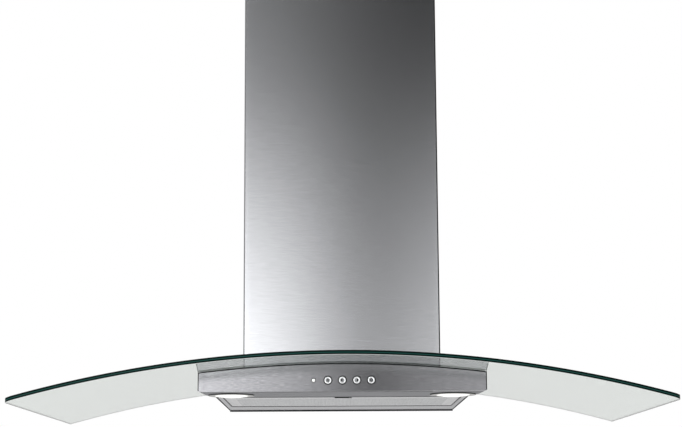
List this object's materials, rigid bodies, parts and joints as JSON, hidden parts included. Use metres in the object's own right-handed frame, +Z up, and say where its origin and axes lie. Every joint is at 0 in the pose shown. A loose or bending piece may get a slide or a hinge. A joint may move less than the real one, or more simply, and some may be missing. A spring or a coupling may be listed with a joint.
{
  "type": "range hood",
  "caption": "Wall-mounted chimney range hood: arched glass canopy over a low body with push buttons, lamps and a hinged grease filter; telescoping chimney, blower and damper.",
  "frame": {"origin": "centre of the four wall-fixing holes, on the wall plane", "axes": "+Z up, the front faces -Y, the wall is the plane Y = 0, +X to the right seen from the front"},
  "size_m": [0.9, 0.5, 0.69],
  "materials": {
    "canopy_glass": "clear tempered sheet glass with polished edges that look dark green",
    "chimney_steel": "stainless sheet, brushed from side to side",
    "panel_steel": "stainless sheet, brushed from side to side",
    "body_steel": "satin stainless sheet",
    "filter_aluminium": "satin aluminium frame and mesh",
    "bare_aluminium": "bare pressed aluminium",
    "button_chrome": "satin chrome on plastic",
    "lamp_rim_metal": "satin nickel",
    "lens_glass": "frosted glass",
    "bulb_glass": "clear capsule glass",
    "zinc_steel": "zinc-plated sheet steel",
    "copper_winding": "enamelled copper wire",
    "black_rubber": "matt black rubber",
    "black_plastic": "matt black moulded plastic",
    "white_plastic": "off-white moulded plastic",
    "white_ceramic": "glazed ceramic",
    "circuit_board": "green solder mask"
  },
  "bodies": {
    "root": {"glass_canopy": "canopy_glass", "body_seal": "black_rubber", "motor_seal": "black_rubber", "chimney_trim": "black_plastic", "body_pan": "body_steel", "panel_carrier": "black_plastic", "front_panel": "panel_steel", "indicator": "white_plastic", "switch_module": "black_plastic", "switch_board": "circuit_board", "lamp_rim_left": "lamp_rim_metal", "lamp_rim_right": "lamp_rim_metal", "lamp_lens_left": "lens_glass", "lamp_lens_right": "lens_glass", "lamp_cup_left": "bare_aluminium", "lamp_cup_right": "bare_aluminium", "lamp_socket_left": "white_ceramic", "lamp_socket_right": "white_ceramic", "bulb_left": "bulb_glass", "bulb_right": "bulb_glass", "lamp_transformer": "black_plastic", "motor_box": "zinc_steel", "wall_plate": "zinc_steel", "glass_screws": "zinc_steel", "glass_nuts": "zinc_steel", "glass_bushes": "white_plastic", "scroll_shell": "black_plastic", "scroll_cheek_left": "black_plastic", "scroll_cheek_right": "black_plastic", "stator": "copper_winding", "motor_can": "zinc_steel", "motor_bearings": "zinc_steel", "motor_bracket": "zinc_steel", "motor_bushes": "black_rubber", "outlet_adaptor": "black_plastic", "adaptor_screws": "zinc_steel", "damper_pin": "zinc_steel", "lower_chimney": "chimney_steel", "junction_box": "black_plastic", "junction_lid": "black_plastic", "terminal_block": "white_plastic", "cable_gland": "black_plastic", "capacitor": "white_plastic", "capacitor_clip": "black_plastic"},
    "button_1": {"button_1": "button_chrome"},
    "button_2": {"button_2": "button_chrome"},
    "button_3": {"button_3": "button_chrome"},
    "button_4": {"button_4": "button_chrome"},
    "filter": {"filter_frame": "filter_aluminium", "filter_mesh": "filter_aluminium", "latch_spring": "zinc_steel"},
    "latch": {"filter_latch": "black_plastic"},
    "impeller": {"impeller": "black_plastic", "motor_shaft": "zinc_steel", "rotor": "zinc_steel"},
    "damper_front": {"damper_flap_front": "white_plastic"},
    "damper_rear": {"damper_flap_rear": "white_plastic"},
    "upper_chimney": {"upper_chimney": "chimney_steel", "chimney_bracket": "zinc_steel", "chimney_screws": "zinc_steel"}
  },
  "joints": [
    {"name": "button_1_push", "type": "slide", "parent": "root", "child": "button_1", "axis": [0, 1, 0], "range_m": [0, 0.0015], "stiffness_N_per_m": 300, "springref_m": -0.002},
    {"name": "button_2_push", "type": "slide", "parent": "root", "child": "button_2", "axis": [0, 1, 0], "range_m": [0, 0.0015], "stiffness_N_per_m": 300, "springref_m": -0.002},
    {"name": "button_3_push", "type": "slide", "parent": "root", "child": "button_3", "axis": [0, 1, 0], "range_m": [0, 0.0015], "stiffness_N_per_m": 300, "springref_m": -0.002},
    {"name": "button_4_push", "type": "slide", "parent": "root", "child": "button_4", "axis": [0, 1, 0], "range_m": [0, 0.0015], "stiffness_N_per_m": 300, "springref_m": -0.002},
    {"name": "filter_swing", "type": "hinge", "parent": "root", "child": "filter", "pos_m": [0, -0.0935, -0.176], "axis": [1, 0, 0], "range_deg": [0, 80]},
    {"name": "latch_slide", "type": "slide", "parent": "filter", "child": "latch", "axis": [0, 1, 0], "range_m": [0, 0.005], "stiffness_N_per_m": 300, "springref_m": -0.004, "deforming": ["latch_spring"]},
    {"name": "impeller_spin", "type": "hinge", "parent": "root", "child": "impeller", "pos_m": [0, -0.10053, -0.02], "axis": [1, 0, 0], "continuous": true},
    {"name": "damper_front_swing", "type": "hinge", "parent": "root", "child": "damper_front", "pos_m": [0, -0.13, 0.1393], "axis": [-1, 0, 0], "range_deg": [0, 75]},
    {"name": "damper_rear_swing", "type": "hinge", "parent": "root", "child": "damper_rear", "pos_m": [0, -0.13, 0.1393], "axis": [1, 0, 0], "range_deg": [0, 75]},
    {"name": "chimney_slide", "type": "slide", "parent": "root", "child": "upper_chimney", "axis": [0, 0, 1], "range_m": [0, 0.4]}
  ]
}
